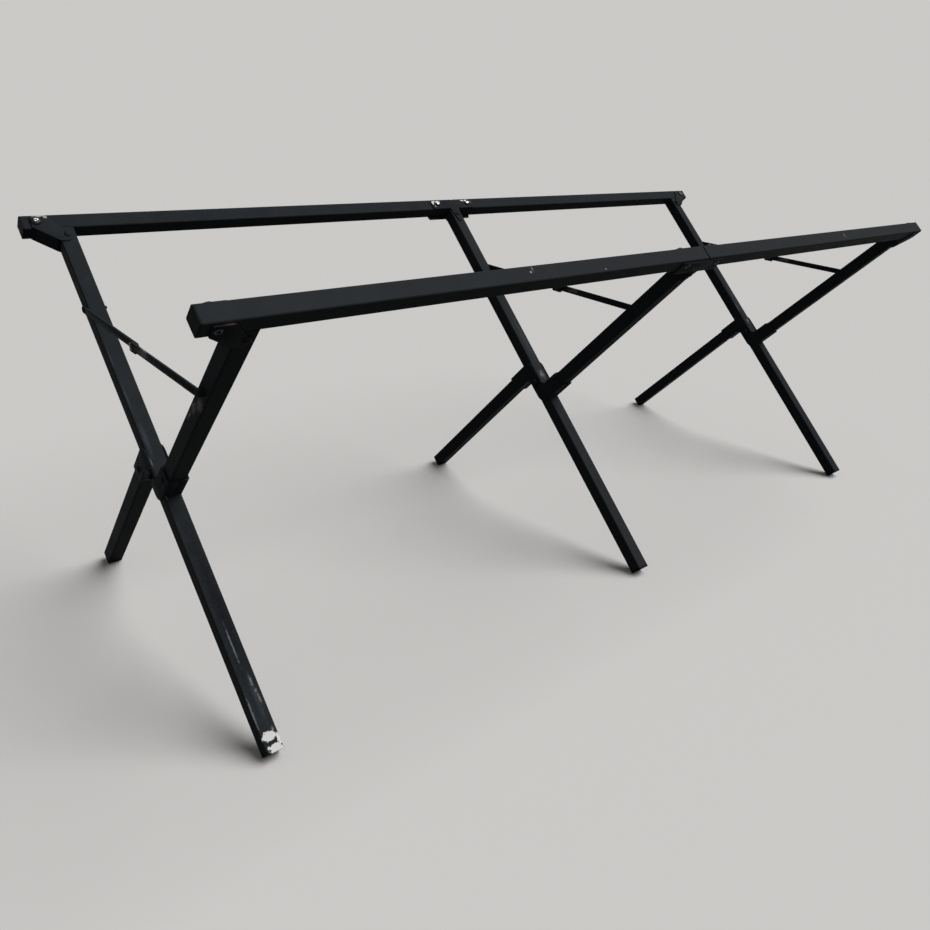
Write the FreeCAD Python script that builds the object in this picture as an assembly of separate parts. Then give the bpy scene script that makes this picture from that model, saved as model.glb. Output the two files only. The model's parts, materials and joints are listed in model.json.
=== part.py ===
import FreeCAD, Part
import math
import os

from FreeCAD import Placement, Rotation, Vector

# Folding trestle table frame: two rails carried by three scissor leg pairs with folding stays.
# Millimetres. X runs along the rails, +Y is the rear, Z is up from the floor.

# Overall sizes
RAIL_HEIGHT = 600.0     # centre of both rails above the floor
RAIL_SPREAD = 629.0     # front rail centre to rear rail centre
PIVOT_HEIGHT = 300.5    # scissor bolts above the floor
LEG_PITCH = 779.0       # middle leg to end leg
RAIL_OVERHANG = 55.5    # rail end past the end leg's centre

# Square tube of the rails and legs
TUBE = 25.0
WALL = 1.5
TUBE_CORNER = 2.5

# Joint between the two halves of each rail: place along X and width of the gap
REAR_SEAM = 4.0
REAR_SEAM_GAP = 7.0
FRONT_SEAM = 12.0
FRONT_SEAM_GAP = 3.0

# Cranked front legs and the pressed hubs that carry them past the straight legs
CRANK = 28.5            # each half of the cranked leg lies this far from the scissor bolt
HUB_SHEET = 2.0
HUB_PLAY = 0.3          # shell to tube, and shell to the leg that turns between the shells
HUB_REACH = 58.0        # end of each sleeve from the scissor bolt
HUB_WAIST = 14.0        # half length of the shell's middle, and start of each sleeve
HUB_INSIDE_ROUND = 9.0
HUB_WAIST_ROUND = 17.0
HUB_BEND = 1.2          # sloping edge where the sheet turns from cheek to sleeve
HUB_SPLIT = 1.0         # gap between the two shells of a hub
TUBE_SETBACK = 3.0      # cranked tube ends behind the start of its sleeve
HUB_RIVET_REACH = 40.0
HUB_RIVET_RADIUS = 2.5

# Scissor bolt
PIVOT_RADIUS = 4.0
PIVOT_HEAD_FLATS = 13.0
PIVOT_HEAD_HEIGHT = 5.5
BUSH_WALL = 2.0
BUSH_END_PLAY = 0.1

# End brackets: two cheeks and a web along their lower edge
BRACKET_SHEET = 2.0
BOLT_OUT = 38.0         # bracket bolt outboard of the end leg's centre
RIVET_DROP = 26.0       # leg rivet below the rail's centre
BRACKET_END = 7.5       # square end outboard of the bolt
BRACKET_TOP = 8.5       # upper edge above the rail's centre
BRACKET_TOP_IN = 18.0   # inboard end of the upper edge from the bolt
BRACKET_END_LOW = 11.0  # lower corner of the square end below the rail's centre
BRACKET_DROP = 12.0     # lower edge below the leg rivet
BRACKET_FOOT_OUT = 12.5
BRACKET_FOOT_IN = 11.0
BRACKET_FOOT_ROUND = 8.0
BRACKET_ROUND = 2.0
WEB_START = 5.0         # web from the square end's corner
WEB_END = 4.0           # web from the corner at the leg

# Middle plates
PLATE_HALF = 56.0
PLATE_TOP = 9.0
PLATE_BOTTOM = 12.0
LOWER_PLATE_BOTTOM = 18.0
PLATE_ROUND = 5.0
PLATE_BOLT = 40.0       # plate bolts either side of the middle leg
PLATE_BOLT_UP = 2.0
TONGUE_DROP = 44.0
TONGUE_HALF = 11.0
TONGUE_TIP_HALF = 4.0
TONGUE_ROUND = 2.5

# Bolts, nuts and rivets of the brackets
BOLT_RADIUS = 3.0
BOLT_HEAD_RADIUS = 7.5
BOLT_HEAD_HEIGHT = 3.0
SOCKET_FLATS = 4.0
SOCKET_DEPTH = 2.0
SLEEVE_RADIUS = 4.2     # sleeve nut: a low flange on a sleeve that takes the bolt's end
SLEEVE_LENGTH = 12.0
SLEEVE_FLOOR = 4.0      # solid end of the sleeve below its flange
FLANGE_RADIUS = 5.0
FLANGE_HEIGHT = 1.2
NUT_FLATS = 13.0
NUT_HEIGHT = 6.5
BOLT_STAND_OUT = 1.5    # bolt end past its nut
LEG_RIVET_RADIUS = 3.0
RIVET_HEAD_RADIUS = 5.5
RIVET_HEAD_HEIGHT = 2.5
HEAD_RIM = 0.3          # upright part of a head's height
HEAD_CROWN = 0.6        # flat top of a head as a part of its radius

# Folding stays
STAY_REACH = 281.0      # stay pins from the scissor bolt, measured along the legs
STAY_SIDES = {"left": -1, "middle": 1, "right": 1}
ARM_HALF_WIDTH = 5.5
ARM_THICKNESS = 3.0
ARM_LAYER_GAP = 0.3
ARM_PAST_KNEE = 8.0     # rear arm runs past the knee to carry its stop tab
STOP_THICKNESS = 2.5
STOP_BACK = 8.0         # stop tab runs from behind the knee
STOP_AHEAD = 11.0       # to ahead of it
STOP_PLAY = 0.3
REAR_COLLAR = 1.0
COLLAR_RADIUS = 5.0
PIN_RADIUS = 2.0
PIN_HEAD_RADIUS = 5.0
PIN_HEAD_HEIGHT = 1.2
PEG_LENGTH = 3.0        # pin past the leg's other side, up to its knob
PEG_KNOB_RADIUS = 2.8
PEG_KNOB_HEIGHT = 2.6
KNEE_HEAD_RADIUS = 5.5
KNEE_HEAD_HEIGHT = 2.2
KNEE_TAIL_RADIUS = 4.5
KNEE_TAIL_HEIGHT = 0.7

# Plugs
PLUG_DEPTH = 10.0
PLUG_PLAY = 0.1
RAIL_PLUG_CAP = 3.0
FOOT_CAP = 5.0
CAP_EDGE = 0.6
FOOT_BEVEL = 1.6        # corner of the foot plug worn off level with the floor

# Clearances
FIXED_PLAY = 0.1        # fasteners in the holes of pieces they hold still
RUNNING_PLAY = 0.06     # pins and bolts in the holes that turn on them
END_PLAY = 0.1

# Values that follow from the sizes above
HALF = TUBE / 2
TILT = math.atan2(RAIL_SPREAD / 2, RAIL_HEIGHT - PIVOT_HEIGHT)
REACH = math.hypot(RAIL_SPREAD / 2, RAIL_HEIGHT - PIVOT_HEIGHT)
FRONT_REACH = math.sqrt(REACH ** 2 - CRANK ** 2)
FRONT_TILT = TILT - math.asin(CRANK / REACH)
REAR_FOOT = (PIVOT_HEIGHT + FOOT_BEVEL - HALF * math.sin(TILT)) / math.cos(TILT) - FOOT_CAP
FRONT_FOOT = (
    PIVOT_HEIGHT + FOOT_BEVEL + (CRANK - HALF) * math.sin(FRONT_TILT)
) / math.cos(FRONT_TILT) - FOOT_CAP
RAIL_END = LEG_PITCH + RAIL_OVERHANG
CHEEK = HALF + BRACKET_SHEET
HUB_INSIDE = HALF + HUB_PLAY
HUB_FACE = HUB_INSIDE + HUB_SHEET
BUSH_RADIUS = PIVOT_RADIUS + RUNNING_PLAY + BUSH_WALL

X_AXIS = Vector(1, 0, 0)
Y_AXIS = Vector(0, 1, 0)
Z_AXIS = Vector(0, 0, 1)

# Each frame has its own axes: z up the legs, -y the inner face, origin at the middle of its rail.
# The front frame is the rear one turned half round, so its x runs the other way.
REAR = Placement(Vector(0, RAIL_SPREAD / 2, RAIL_HEIGHT), Rotation(X_AXIS, -math.degrees(TILT)))
FRONT = Placement(
    Vector(0, -RAIL_SPREAD / 2, RAIL_HEIGHT),
    Rotation(Z_AXIS, 180) * Rotation(X_AXIS, -math.degrees(FRONT_TILT)),
)
LEG_PLACES = {"left": -LEG_PITCH, "middle": 0.0, "right": LEG_PITCH}

# Scissor bolt, stay pins and knee in the YZ plane, with the stay lying straight
PIVOT = Vector(0, 0, PIVOT_HEIGHT)
REAR_UP = Vector(0, math.sin(TILT), math.cos(TILT))
FRONT_UP = Vector(0, -math.sin(FRONT_TILT), math.cos(FRONT_TILT))
FRONT_INWARD = Vector(0, math.cos(FRONT_TILT), math.sin(FRONT_TILT))
REAR_PIN = PIVOT + REAR_UP * STAY_REACH
FRONT_PIN = PIVOT + FRONT_UP * STAY_REACH - FRONT_INWARD * CRANK
KNEE = (REAR_PIN + FRONT_PIN) * 0.5

# Layers of the stay, counted outwards from the middle of the legs
REAR_ARM_IN = HALF + REAR_COLLAR + END_PLAY
REAR_ARM_OUT = REAR_ARM_IN + ARM_THICKNESS
FRONT_ARM_IN = REAR_ARM_OUT + ARM_LAYER_GAP
FRONT_ARM_OUT = FRONT_ARM_IN + ARM_THICKNESS


def placed(shape, frame):
    """A copy of a shape built in a frame's own axes, moved to its place in the table."""
    copy = shape.copy()
    copy.Placement = frame.multiply(shape.Placement)
    return copy


def export(name, shape):
    shape.exportStep("parts/" + name + ".step")


def rod(start, axis, radius, length):
    return Part.makeCylinder(radius, length, start, axis)


def cross_hole(centre, axis, radius):
    """A cutter that runs right through a tube."""
    return rod(centre - axis * TUBE, axis, radius, 2 * TUBE)


def bolt_hole(centre):
    """A cutter through a rail for a bolt, wider on the outer side for its sleeve nut."""
    narrow = cross_hole(centre, Y_AXIS, BOLT_RADIUS + FIXED_PLAY)
    return narrow.fuse(rod(centre, Y_AXIS, SLEEVE_RADIUS + FIXED_PLAY, TUBE))


def rounded_block(size, corner, length):
    """A square bar along z from the origin, with rounded long edges."""
    block = Part.makeBox(size, size, length, Vector(-size / 2, -size / 2, 0))
    long_edges = [edge for edge in block.Edges if abs(edge.tangentAt(edge.FirstParameter).z) > 0.99]
    return block.makeFillet(corner, long_edges)


def square_tube(length):
    inside = rounded_block(TUBE - 2 * WALL, TUBE_CORNER - WALL, length)
    return rounded_block(TUBE, TUBE_CORNER, length).cut(inside)


def slab(points, normal):
    """The outline through some points, extruded by the vector normal."""
    return Part.Face(Part.makePolygon(points + points[:1])).extrude(normal)


def plate(points, rounds, normal):
    """A slab with its corners rounded."""
    solid = slab(points, normal)
    for point, radius in zip(points, rounds):
        if radius:
            corner = [
                edge
                for edge in solid.Edges
                if min(edge.Vertexes[0].Point.distanceToPoint(point),
                       edge.Vertexes[-1].Point.distanceToPoint(point)) < 1e-6
                and abs(edge.Length - normal.Length) < 1e-6
                and edge.tangentAt(edge.FirstParameter).cross(normal).Length < 1e-6
            ]
            solid = solid.makeFillet(radius, corner)
    return solid


def strap(first, second, radius, normal):
    """A flat bar with round ends about two points, as thick as the vector normal."""
    along = (second - first).normalize()
    across = Vector(normal).normalize().cross(along)
    outline = [
        Part.makeLine(first + across * radius, second + across * radius),
        Part.Arc(second + across * radius, second + along * radius, second - across * radius).toShape(),
        Part.makeLine(second - across * radius, first - across * radius),
        Part.Arc(first - across * radius, first - along * radius, first + across * radius).toShape(),
    ]
    return Part.Face(Part.Wire(outline)).extrude(normal)


def button(base, axis, radius, height):
    """A low round head with a sloping rim."""
    rim = height * HEAD_RIM
    head = Part.makeCylinder(radius, rim)
    head = head.fuse(Part.makeCone(radius, radius * HEAD_CROWN, height - rim, Vector(0, 0, rim)))
    head = head.removeSplitter()
    head.Placement = Placement(base, Rotation(Z_AXIS, axis))
    return head


def hexagon(base, axis, flats, height):
    radius = flats / math.sqrt(3)
    corners = [
        Vector(radius * math.cos(math.radians(60 * turn)), radius * math.sin(math.radians(60 * turn)), 0)
        for turn in range(7)
    ]
    solid = Part.Face(Part.makePolygon(corners)).extrude(Vector(0, 0, height))
    solid.Placement = Placement(base, Rotation(Z_AXIS, axis))
    return solid


def rivet(start, axis, shank, length):
    """A rivet with a button head at each end."""
    end = start + axis * length
    solid = rod(start, axis, shank, length)
    solid = solid.fuse(button(start, axis * -1, RIVET_HEAD_RADIUS, RIVET_HEAD_HEIGHT))
    solid = solid.fuse(button(end, axis, RIVET_HEAD_RADIUS, RIVET_HEAD_HEIGHT))
    return solid.removeSplitter()


def plug(cap, direction):
    """A square plug: a cap over the tube's end and a stem inside it, the cap facing direction."""
    head = Part.makeBox(TUBE, TUBE, cap, Vector(-HALF, -HALF, 0))
    long_edges = [edge for edge in head.Edges if abs(edge.tangentAt(edge.FirstParameter).z) > 0.99]
    head = head.makeFillet(TUBE_CORNER, long_edges)
    rim = [edge for edge in head.Edges if edge.BoundBox.ZMin > cap - 1e-6]
    head = head.makeChamfer(CAP_EDGE, rim)
    stem = rounded_block(TUBE - 2 * WALL - 2 * PLUG_PLAY, TUBE_CORNER - WALL, PLUG_DEPTH)
    stem.translate(Vector(0, 0, -PLUG_DEPTH))
    solid = head.fuse(stem).removeSplitter()
    solid.Placement = Placement(Vector(0, 0, 0), Rotation(Z_AXIS, direction))
    return solid


def rail(start, end, bolts):
    """Half a rail along x, with a cross hole for each bolt (x, z)."""
    tube = square_tube(end - start)
    tube.Placement = Placement(Vector(start, 0, 0), Rotation(Y_AXIS, 90))
    for x, z in bolts:
        tube = tube.cut(bolt_hole(Vector(x, 0, z)))
    return tube


def leg(x, y, bottom, top, holes):
    """A leg tube along z with cross holes (z, axis, radius)."""
    tube = square_tube(top - bottom)
    tube.translate(Vector(x, y, bottom))
    for z, axis, radius in holes:
        tube = tube.cut(cross_hole(Vector(x, y, z), axis, radius))
    return tube


def hub_shell(x, side):
    """One pressed shell of a hub: a cheek beside the straight leg and half of each sleeve."""
    low, high = CRANK - HUB_FACE, CRANK + HUB_FACE
    outline = [
        (high, HUB_REACH, 0),
        (low, HUB_REACH, 0),
        (low, HUB_WAIST, HUB_INSIDE_ROUND),
        (-high, HUB_WAIST, HUB_WAIST_ROUND),
        (-high, -HUB_REACH, 0),
        (-low, -HUB_REACH, 0),
        (-low, -HUB_WAIST, HUB_INSIDE_ROUND),
        (high, -HUB_WAIST, HUB_WAIST_ROUND),
    ]
    points = [Vector(side * HUB_INSIDE, y, z) for y, z, _ in outline]
    shell = plate(points, [radius for _, _, radius in outline], Vector(side * HUB_SHEET, 0, 0))
    flange_width = HUB_INSIDE - HUB_SPLIT / 2
    flange_x = min(side * HUB_SPLIT / 2, side * HUB_INSIDE)
    sleeve = HUB_REACH - HUB_WAIST
    for way in (1, -1):
        for y in (way * CRANK - HUB_FACE, way * CRANK + HUB_INSIDE):
            z = HUB_WAIST if way > 0 else -HUB_REACH
            shell = shell.fuse(Part.makeBox(flange_width, HUB_SHEET, sleeve, Vector(flange_x, y, z)))
    shell = shell.removeSplitter()
    bends = [
        edge
        for edge in shell.Edges
        if abs(edge.Vertexes[0].X - side * HUB_FACE) < 1e-6
        and abs(edge.Vertexes[-1].X - side * HUB_FACE) < 1e-6
        and abs(edge.tangentAt(edge.FirstParameter).z) > 0.99
        and edge.Length > HUB_REACH / 3
    ]
    shell = shell.makeChamfer(HUB_BEND, bends)
    shell = shell.cut(cross_hole(Vector(0, 0, 0), X_AXIS, PIVOT_RADIUS + FIXED_PLAY))
    for way in (1, -1):
        centre = Vector(0, way * CRANK, way * HUB_RIVET_REACH)
        shell = shell.cut(cross_hole(centre, X_AXIS, HUB_RIVET_RADIUS + FIXED_PLAY))
    shell.translate(Vector(x, -CRANK, -FRONT_REACH))
    return shell


def end_bracket(x, side):
    """A gusset channel from the rail's end down to the leg's top, open on the inboard side."""
    bolt_x = x + side * BOLT_OUT
    end_x = bolt_x + side * BRACKET_END
    lower = -RIVET_DROP - BRACKET_DROP
    end_corner = Vector(end_x, 0, -BRACKET_END_LOW)
    foot_corner = Vector(x + side * BRACKET_FOOT_OUT, 0, lower)
    points = [
        Vector(end_x, 0, BRACKET_TOP),
        end_corner,
        foot_corner,
        Vector(x - side * BRACKET_FOOT_IN, 0, lower),
        Vector(bolt_x - side * BRACKET_TOP_IN, 0, BRACKET_TOP),
    ]
    rounds = [BRACKET_ROUND, BRACKET_ROUND, BRACKET_FOOT_ROUND, BRACKET_FOOT_ROUND, BRACKET_ROUND]
    along = (foot_corner - end_corner).normalize()
    inward = Vector(along.z * side, 0, -along.x * side)
    web_points = [end_corner + along * WEB_START, foot_corner - along * WEB_END]
    web_points += [point + inward * BRACKET_SHEET for point in reversed(web_points)]
    web_points = [point - Y_AXIS * CHEEK for point in web_points]
    bracket = slab(web_points, Y_AXIS * (2 * CHEEK))
    rail_space = Part.makeBox(4 * BOLT_OUT, TUBE, TUBE, Vector(x - 2 * BOLT_OUT, -HALF, -HALF))
    leg_space = Part.makeBox(TUBE, TUBE, 4 * RIVET_DROP, Vector(x - HALF, -HALF, -4 * RIVET_DROP))
    bracket = bracket.cut(rail_space).cut(leg_space)
    for y in (-CHEEK, HALF):
        cheek_points = [point + Y_AXIS * y for point in points]
        bracket = bracket.fuse(plate(cheek_points, rounds, Y_AXIS * BRACKET_SHEET))
    bracket = bracket.removeSplitter().cut(bolt_hole(Vector(bolt_x, 0, 0)))
    return bracket.cut(cross_hole(Vector(x, 0, -RIVET_DROP), Y_AXIS, LEG_RIVET_RADIUS + FIXED_PLAY))


def middle_plate(y, bottom):
    """The plate over a rail's joint, with a tongue pointing down the middle leg."""
    outline = [
        (-PLATE_HALF, PLATE_TOP, PLATE_ROUND),
        (-PLATE_HALF, -bottom, PLATE_ROUND),
        (-TONGUE_HALF, -bottom, TONGUE_ROUND),
        (-TONGUE_TIP_HALF, -TONGUE_DROP, TONGUE_ROUND),
        (TONGUE_TIP_HALF, -TONGUE_DROP, TONGUE_ROUND),
        (TONGUE_HALF, -bottom, TONGUE_ROUND),
        (PLATE_HALF, -bottom, PLATE_ROUND),
        (PLATE_HALF, PLATE_TOP, PLATE_ROUND),
    ]
    points = [Vector(x, y, z) for x, z, _ in outline]
    sheet = plate(points, [radius for _, _, radius in outline], Y_AXIS * BRACKET_SHEET)
    for way in (1, -1):
        sheet = sheet.cut(bolt_hole(Vector(way * PLATE_BOLT, 0, PLATE_BOLT_UP)))
    return sheet.cut(cross_hole(Vector(0, 0, -RIVET_DROP), Y_AXIS, LEG_RIVET_RADIUS + FIXED_PLAY))


def bracket_bolt(x, z):
    """A dome bolt through the rail, its head on the inner face."""
    seat = Vector(x, -CHEEK, z)
    head = button(seat, Y_AXIS * -1, BOLT_HEAD_RADIUS, BOLT_HEAD_HEIGHT)
    socket_floor = seat - Y_AXIS * (BOLT_HEAD_HEIGHT - SOCKET_DEPTH)
    head = head.cut(hexagon(socket_floor, Y_AXIS * -1, SOCKET_FLATS, SOCKET_DEPTH + 1))
    shank = rod(seat, Y_AXIS, BOLT_RADIUS, 2 * CHEEK - SLEEVE_FLOOR - FIXED_PLAY)
    return head.fuse(shank).removeSplitter()


def bracket_nut(x, z):
    """A sleeve nut on the outer face, reaching into the rail to take the bolt's end."""
    seat = Vector(x, CHEEK, z)
    nut = button(seat, Y_AXIS, FLANGE_RADIUS, FLANGE_HEIGHT)
    nut = nut.fuse(rod(seat, Y_AXIS * -1, SLEEVE_RADIUS, SLEEVE_LENGTH)).removeSplitter()
    socket_floor = seat + Y_AXIS * (FLANGE_HEIGHT - SOCKET_DEPTH)
    nut = nut.cut(hexagon(socket_floor, Y_AXIS, SOCKET_FLATS, SOCKET_DEPTH + 1))
    bore_end = seat - Y_AXIS * SLEEVE_FLOOR
    return nut.cut(rod(bore_end, Y_AXIS * -1, BOLT_RADIUS + FIXED_PLAY, SLEEVE_LENGTH))


def stay_pin(x, side, point, arm_in):
    """A shouldered pin through a leg that the stay's arm turns on, with a knob on its far end."""
    outward = X_AXIS * side
    centre = point + X_AXIS * x
    face = centre + outward * HALF
    head_seat = centre + outward * (arm_in + ARM_THICKNESS + END_PLAY)
    knob_seat = centre - outward * (HALF + PEG_LENGTH)
    pin = rod(knob_seat, outward, PIN_RADIUS, (head_seat - knob_seat).Length)
    pin = pin.fuse(rod(face, outward, COLLAR_RADIUS, arm_in - END_PLAY - HALF))
    pin = pin.fuse(button(head_seat, outward, PIN_HEAD_RADIUS, PIN_HEAD_HEIGHT))
    return pin.fuse(button(knob_seat, outward * -1, PEG_KNOB_RADIUS, PEG_KNOB_HEIGHT)).removeSplitter()


def stay_arm(x, side, pin, far_end, arm_in):
    """A flat arm from its pin towards the knee, with holes for both."""
    shift = X_AXIS * (x + side * arm_in)
    arm = strap(pin + shift, far_end + shift, ARM_HALF_WIDTH, X_AXIS * (side * ARM_THICKNESS))
    arm = arm.cut(cross_hole(pin + shift, X_AXIS, PIN_RADIUS + RUNNING_PLAY))
    return arm.cut(cross_hole(KNEE + shift, X_AXIS, PIN_RADIUS + FIXED_PLAY))


def stop_tab(x, side):
    """The tab of the rear arm, bent under the front arm so that the knee stops straight."""
    along = (REAR_PIN - FRONT_PIN).normalize()
    up = X_AXIS.cross(along)
    edge = ARM_HALF_WIDTH + STOP_PLAY
    outward = X_AXIS * side
    knee = KNEE + X_AXIS * x + outward * REAR_ARM_IN
    ahead = knee - along * STOP_AHEAD
    back = knee + along * STOP_BACK
    under = [ahead - up * edge, back - up * edge]
    under += [point - up * STOP_THICKNESS for point in reversed(under)]
    lip = slab(under, outward * (FRONT_ARM_OUT - REAR_ARM_IN))
    root_top = up * (ARM_HALF_WIDTH - STOP_THICKNESS / 2)
    root = [ahead + along * (STOP_AHEAD - ARM_PAST_KNEE) - root_top, back - root_top] + under[2:]
    return lip.fuse(slab(root, outward * ARM_THICKNESS))


def knee_rivet(x, side):
    """The outer end of the knee rivet, in the front arm."""
    seat = KNEE + X_AXIS * (x + side * FRONT_ARM_OUT)
    shank = rod(seat, X_AXIS * -side, PIN_RADIUS, ARM_THICKNESS)
    return shank.fuse(button(seat, X_AXIS * side, KNEE_HEAD_RADIUS, KNEE_HEAD_HEIGHT)).removeSplitter()


def knee_tail(x, side):
    """The inner end of the knee rivet, in the rear arm."""
    seat = KNEE + X_AXIS * (x + side * REAR_ARM_IN)
    shank = rod(seat, X_AXIS * side, PIN_RADIUS, ARM_THICKNESS)
    return shank.fuse(button(seat, X_AXIS * -side, KNEE_TAIL_RADIUS, KNEE_TAIL_HEIGHT)).removeSplitter()


def foot(frame, x, y, z):
    """A foot plug at a leg's lower end, its lowest corner level with the floor."""
    cap = plug(FOOT_CAP, Z_AXIS * -1)
    cap.translate(Vector(x, y, z))
    span = 2 * (RAIL_END + RAIL_SPREAD)
    ground = Part.makeBox(span, span, TUBE, Vector(-span / 2, -span / 2, -TUBE))
    return placed(cap, frame).cut(ground)


def build_frame(name, frame, seam, seam_gap, turned):
    """Rails, brackets, plates, plugs and their fasteners of one frame."""
    left, right = ("right", "left") if turned else ("left", "right")
    end_bolts = {-1: (-LEG_PITCH - BOLT_OUT, 0), 1: (LEG_PITCH + BOLT_OUT, 0)}
    plate_bolts = {-1: (-PLATE_BOLT, PLATE_BOLT_UP), 1: (PLATE_BOLT, PLATE_BOLT_UP)}
    spans = {-1: (-RAIL_END, seam - seam_gap / 2), 1: (seam + seam_gap / 2, RAIL_END)}
    for side, word in ((-1, left), (1, right)):
        bolts = [end_bolts[side], plate_bolts[side]]
        export(name + "_rail_" + word, placed(rail(*spans[side], bolts), frame))
        export(name + "_end_bracket_" + word, placed(end_bracket(side * LEG_PITCH, side), frame))
    export(name + "_middle_plate_upper", placed(middle_plate(-CHEEK, PLATE_BOTTOM), frame))
    export(name + "_middle_plate_lower", placed(middle_plate(HALF, LOWER_PLATE_BOTTOM), frame))

    places = list(end_bolts.values()) + list(plate_bolts.values())
    export(name + "_bracket_bolts", placed(Part.makeCompound([bracket_bolt(*p) for p in places]), frame))
    export(name + "_bracket_nuts", placed(Part.makeCompound([bracket_nut(*p) for p in places]), frame))
    rivets = [
        rivet(Vector(x, -CHEEK, -RIVET_DROP), Y_AXIS, LEG_RIVET_RADIUS, 2 * CHEEK)
        for x in LEG_PLACES.values()
    ]
    export(name + "_leg_rivets", placed(Part.makeCompound(rivets), frame))

    plugs = []
    for side in (-1, 1):
        end_plug = plug(RAIL_PLUG_CAP, X_AXIS * side)
        end_plug.translate(X_AXIS * (side * RAIL_END))
        plugs.append(end_plug)
    export(name + "_rail_plugs", placed(Part.makeCompound(plugs), frame))


def build_legs():
    """The straight rear legs and the two halves of the cranked front legs, with their foot plugs."""
    rivet_hole = (-RIVET_DROP, Y_AXIS, LEG_RIVET_RADIUS + FIXED_PLAY)
    pin_radius = PIN_RADIUS + FIXED_PLAY
    hub_rivet_radius = HUB_RIVET_RADIUS + FIXED_PLAY
    straight_holes = [
        rivet_hole,
        (STAY_REACH - REACH, X_AXIS, pin_radius),
        (-REACH, X_AXIS, BUSH_RADIUS + FIXED_PLAY),
    ]
    upper_holes = [
        rivet_hole,
        (STAY_REACH - FRONT_REACH, X_AXIS, pin_radius),
        (HUB_RIVET_REACH - FRONT_REACH, X_AXIS, hub_rivet_radius),
    ]
    lower_holes = [(-HUB_RIVET_REACH - FRONT_REACH, X_AXIS, hub_rivet_radius)]
    sleeve_start = HUB_WAIST + TUBE_SETBACK
    for word, world_x in LEG_PLACES.items():
        x = -world_x
        rear_end = -REACH - REAR_FOOT
        front_end = -FRONT_REACH - FRONT_FOOT
        export("rear_leg_" + word, placed(leg(world_x, 0, rear_end, -HALF, straight_holes), REAR))
        upper = leg(x, 0, sleeve_start - FRONT_REACH, -HALF, upper_holes)
        export("front_upper_leg_" + word, placed(upper, FRONT))
        lower = leg(x, -2 * CRANK, front_end, -sleeve_start - FRONT_REACH, lower_holes)
        export("front_lower_leg_" + word, placed(lower, FRONT))
        export("rear_foot_" + word, foot(REAR, world_x, 0, rear_end))
        export("front_foot_" + word, foot(FRONT, x, -2 * CRANK, front_end))


def build_hubs():
    """The hub shells, the scissor bolts with nuts and bushes, and the sleeve rivets."""
    bolts, nuts, bushes, rivets = [], [], [], []
    for word, world_x in LEG_PLACES.items():
        export("hub_" + word + "_outer", placed(hub_shell(-world_x, 1), FRONT))
        export("hub_" + word + "_inner", placed(hub_shell(-world_x, -1), FRONT))
        centre = PIVOT + X_AXIS * world_x
        seat = centre - X_AXIS * HUB_FACE
        length = 2 * HUB_FACE + NUT_HEIGHT + BOLT_STAND_OUT
        head = hexagon(seat, X_AXIS * -1, PIVOT_HEAD_FLATS, PIVOT_HEAD_HEIGHT)
        bolts.append(head.fuse(rod(seat, X_AXIS, PIVOT_RADIUS, length)).removeSplitter())
        nut = hexagon(centre + X_AXIS * HUB_FACE, X_AXIS, NUT_FLATS, NUT_HEIGHT)
        nuts.append(nut.cut(cross_hole(centre + X_AXIS * HUB_FACE, X_AXIS, PIVOT_RADIUS + FIXED_PLAY)))
        bush_length = 2 * (HUB_INSIDE - BUSH_END_PLAY)
        bush = rod(centre - X_AXIS * (bush_length / 2), X_AXIS, BUSH_RADIUS, bush_length)
        bushes.append(bush.cut(cross_hole(centre, X_AXIS, PIVOT_RADIUS + RUNNING_PLAY)))
        for way in (1, -1):
            start = Vector(-world_x - HUB_FACE, (way - 1) * CRANK, way * HUB_RIVET_REACH - FRONT_REACH)
            rivets.append(placed(rivet(start, X_AXIS, HUB_RIVET_RADIUS, 2 * HUB_FACE), FRONT))
    export("hub_bolts", Part.makeCompound(bolts))
    export("hub_nuts", Part.makeCompound(nuts))
    export("hub_bushes", Part.makeCompound(bushes))
    export("hub_rivets", Part.makeCompound(rivets))


def build_stays():
    """The folding stays, each on its own side of its leg pair."""
    past_knee = KNEE - (REAR_PIN - FRONT_PIN).normalize() * ARM_PAST_KNEE
    rear_pins, front_pins = [], []
    for word, x in LEG_PLACES.items():
        side = STAY_SIDES[word]
        rear_arm = stay_arm(x, side, REAR_PIN, past_knee, REAR_ARM_IN).fuse(stop_tab(x, side))
        export("stay_rear_arm_" + word, rear_arm.removeSplitter())
        export("stay_front_arm_" + word, stay_arm(x, side, FRONT_PIN, KNEE, FRONT_ARM_IN))
        export("knee_rivet_" + word, knee_rivet(x, side))
        export("knee_tail_" + word, knee_tail(x, side))
        rear_pins.append(stay_pin(x, side, REAR_PIN, REAR_ARM_IN))
        front_pins.append(stay_pin(x, side, FRONT_PIN, FRONT_ARM_IN))
    export("rear_stay_pins", Part.makeCompound(rear_pins))
    export("front_stay_pins", Part.makeCompound(front_pins))


os.makedirs("parts", exist_ok=True)
build_frame("rear", REAR, REAR_SEAM, REAR_SEAM_GAP, False)
build_frame("front", FRONT, -FRONT_SEAM, FRONT_SEAM_GAP, True)
build_legs()
build_hubs()
build_stays()
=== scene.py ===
"""Looks of the folding trestle table frame: worn black paint, turned fasteners, black plastic plugs."""

import itertools
import json
import math
from collections import namedtuple

import bmesh
import bpy
from mathutils import Euler, Matrix, Vector


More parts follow.
